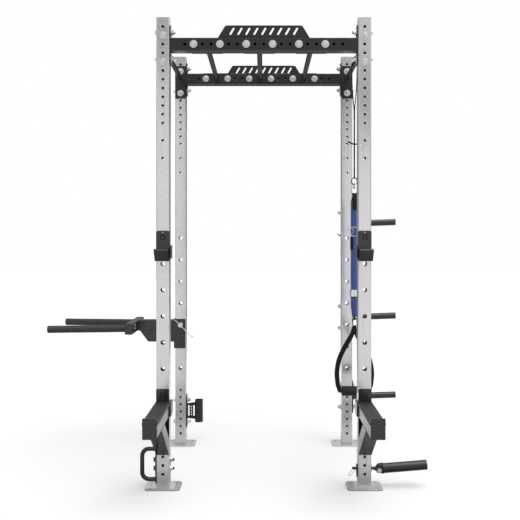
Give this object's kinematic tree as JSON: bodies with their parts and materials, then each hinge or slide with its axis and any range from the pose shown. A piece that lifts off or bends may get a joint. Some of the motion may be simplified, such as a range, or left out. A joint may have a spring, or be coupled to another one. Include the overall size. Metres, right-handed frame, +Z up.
{
  "type": "functional training rack",
  "caption": "Free-standing training rack: drilled square posts and beams, pull-up bars, bar hooks, spotter arms, dip handles, bar pivot, plate pegs and a suspended elastic trainer.",
  "frame": {"origin": "centre of the rectangle of the four foot plates, on the floor", "axes": "+Z up; +X to the right as seen from the front; -Y towards the front, where the bar hooks are"},
  "size_m": [2.4139, 1.8462, 2.7285],
  "materials": {
    "silver_coat": "fine metallic powder coat",
    "black_coat": "satin powder coat",
    "zinc": "bright zinc plate",
    "liner_plastic": "matt",
    "grip_coat": "knurl-free satin coat",
    "black_webbing": "woven webbing",
    "blue_fabric": "woven sleeve",
    "elastic": "braided elastic",
    "polished_steel": "polished",
    "black_foam": "closed cell foam"
  },
  "bodies": {
    "frame": {"upright_front_left": "silver_coat", "upright_front_right": "silver_coat", "upright_rear_left": "silver_coat", "upright_rear_right": "silver_coat", "foot_plates": "silver_coat", "upright_caps": "silver_coat", "front_beam": "black_coat", "rear_beam": "black_coat", "sign_plates": "black_coat", "side_bar_left": "black_coat", "side_bar_right": "black_coat", "pull_up_bar_left": "black_coat", "pull_up_bar_middle": "black_coat", "pull_up_bar_right": "black_coat", "frame_bolts": "zinc", "frame_washers": "zinc", "frame_nuts": "zinc", "plate_peg_upper": "black_coat", "plate_peg_middle": "black_coat", "plate_peg_lower": "black_coat", "peg_end_caps": "liner_plastic", "bar_holder": "black_coat", "tie_down_loop": "black_coat", "tie_down_bolts": "black_coat"},
    "jcup_left_mount": {"jcup_left_pin": "black_coat"},
    "jcup_left": {"jcup_left_hook": "black_coat", "jcup_left_liner": "liner_plastic"},
    "spotter_left_mount": {"spotter_left_pin": "black_coat"},
    "spotter_left": {"spotter_left_arm": "black_coat", "spotter_left_liner": "liner_plastic"},
    "jcup_right_mount": {"jcup_right_pin": "black_coat"},
    "jcup_right": {"jcup_right_hook": "black_coat", "jcup_right_liner": "liner_plastic"},
    "spotter_right_mount": {"spotter_right_pin": "black_coat"},
    "spotter_right": {"spotter_right_arm": "black_coat", "spotter_right_liner": "liner_plastic"},
    "dip_station": {"dip_bracket": "black_coat", "dip_yoke": "black_coat", "dip_handle_front": "grip_coat", "dip_handle_rear": "grip_coat"},
    "dip_pin": {"dip_lock_pin": "zinc"},
    "dip_bail": {"dip_pin_bail": "zinc"},
    "bar_pivot": {"pivot_shank": "black_coat", "pivot_bolt_and_nut": "zinc", "pivot_collar": "black_coat"},
    "bar_sleeve": {"pivot_sleeve": "black_coat"},
    "lock_ring": {"pivot_lock_ring": "zinc"},
    "trainer_strap": {"anchor_strap": "black_webbing", "strap_keeper": "black_webbing", "upper_ring": "polished_steel"},
    "trainer_sleeve": {"upper_carabiner": "polished_steel", "sleeve_tab": "black_webbing", "bungee_sleeve": "blue_fabric", "sleeve_rings": "polished_steel", "sleeve_clamp": "polished_steel"},
    "trainer_core": {"bungee_core": "elastic", "lower_carabiner": "polished_steel"},
    "trainer_sling": {"sling_straps": "black_webbing"},
    "trainer_roller": {"foam_roller": "black_foam"}
  },
  "joints": [
    {"name": "jcup_left_slide", "type": "slide", "parent": "frame", "child": "jcup_left_mount", "axis": [0, -1, 0], "range_m": [0, 0.12]},
    {"name": "jcup_left_twist", "type": "hinge", "parent": "jcup_left_mount", "child": "jcup_left", "pos_m": [-0.5842, -0.5374, 1.4551], "axis": [0, -1, 0], "range_deg": [0, 90]},
    {"name": "spotter_left_slide", "type": "slide", "parent": "frame", "child": "spotter_left_mount", "axis": [0, -1, 0], "range_m": [0, 0.15]},
    {"name": "spotter_left_twist", "type": "hinge", "parent": "spotter_left_mount", "child": "spotter_left", "pos_m": [-0.5842, -0.5374, 0.5407], "axis": [0, -1, 0], "range_deg": [0, 90]},
    {"name": "jcup_right_slide", "type": "slide", "parent": "frame", "child": "jcup_right_mount", "axis": [0, -1, 0], "range_m": [0, 0.12]},
    {"name": "jcup_right_twist", "type": "hinge", "parent": "jcup_right_mount", "child": "jcup_right", "pos_m": [0.5842, -0.5374, 1.4551], "axis": [0, 1, 0], "range_deg": [0, 90]},
    {"name": "spotter_right_slide", "type": "slide", "parent": "frame", "child": "spotter_right_mount", "axis": [0, -1, 0], "range_m": [0, 0.15]},
    {"name": "spotter_right_twist", "type": "hinge", "parent": "spotter_right_mount", "child": "spotter_right", "pos_m": [0.5842, -0.5374, 0.5407], "axis": [0, 1, 0], "range_deg": [0, 90]},
    {"name": "dip_station_slide", "type": "slide", "parent": "frame", "child": "dip_station", "axis": [0, -1, 0], "range_m": [0, 0.15]},
    {"name": "dip_pin_pull", "type": "slide", "parent": "dip_station", "child": "dip_pin", "axis": [0, -1, 0], "range_m": [0, 0.1]},
    {"name": "dip_bail_turn", "type": "hinge", "parent": "dip_pin", "child": "dip_bail", "pos_m": [-0.5842, 0.427, 0.8455], "axis": [0, 1, 0], "range_deg": [-60, 18]},
    {"name": "pivot_swivel", "type": "hinge", "parent": "frame", "child": "bar_pivot", "pos_m": [0.5842, -0.4953, 0.1089], "axis": [1, 0, 0], "range_deg": [-90, 90]},
    {"name": "sleeve_tilt", "type": "hinge", "parent": "bar_pivot", "child": "bar_sleeve", "pos_m": [0.671, -0.4953, 0.1009], "axis": [0, -1, 0], "range_deg": [-14, 74]},
    {"name": "lock_ring_swing", "type": "hinge", "parent": "bar_pivot", "child": "lock_ring", "pos_m": [0.5267, -0.4953, 0.1089], "axis": [0.5736, 0.8192, 0], "range_deg": [-1, 18]},
    {"name": "strap_swing", "type": "hinge", "parent": "frame", "child": "trainer_strap", "pos_m": [0.5842, 0, 2.5727], "axis": [0, 1, 0], "range_deg": [-15, 15]},
    {"name": "link_swing", "type": "hinge", "parent": "trainer_strap", "child": "trainer_sleeve", "pos_m": [0.5842, 0, 1.769], "axis": [0, 1, 0], "range_deg": [-12, 12]},
    {"name": "elastic_stretch", "type": "slide", "parent": "trainer_sleeve", "child": "trainer_core", "axis": [0, 0, -1], "range_m": [0, 0.35], "stiffness_N_per_m": 900, "springref_m": -0.0122},
    {"name": "sling_swing", "type": "hinge", "parent": "trainer_core", "child": "trainer_sling", "pos_m": [0.5842, 0, 0.874], "axis": [1, 0, 0], "range_deg": [-20, 20]},
    {"name": "roller_spin", "type": "hinge", "parent": "trainer_sling", "child": "trainer_roller", "pos_m": [0.5842, 0, 0.467], "axis": [1, 0, 0], "continuous": true}
  ]
}
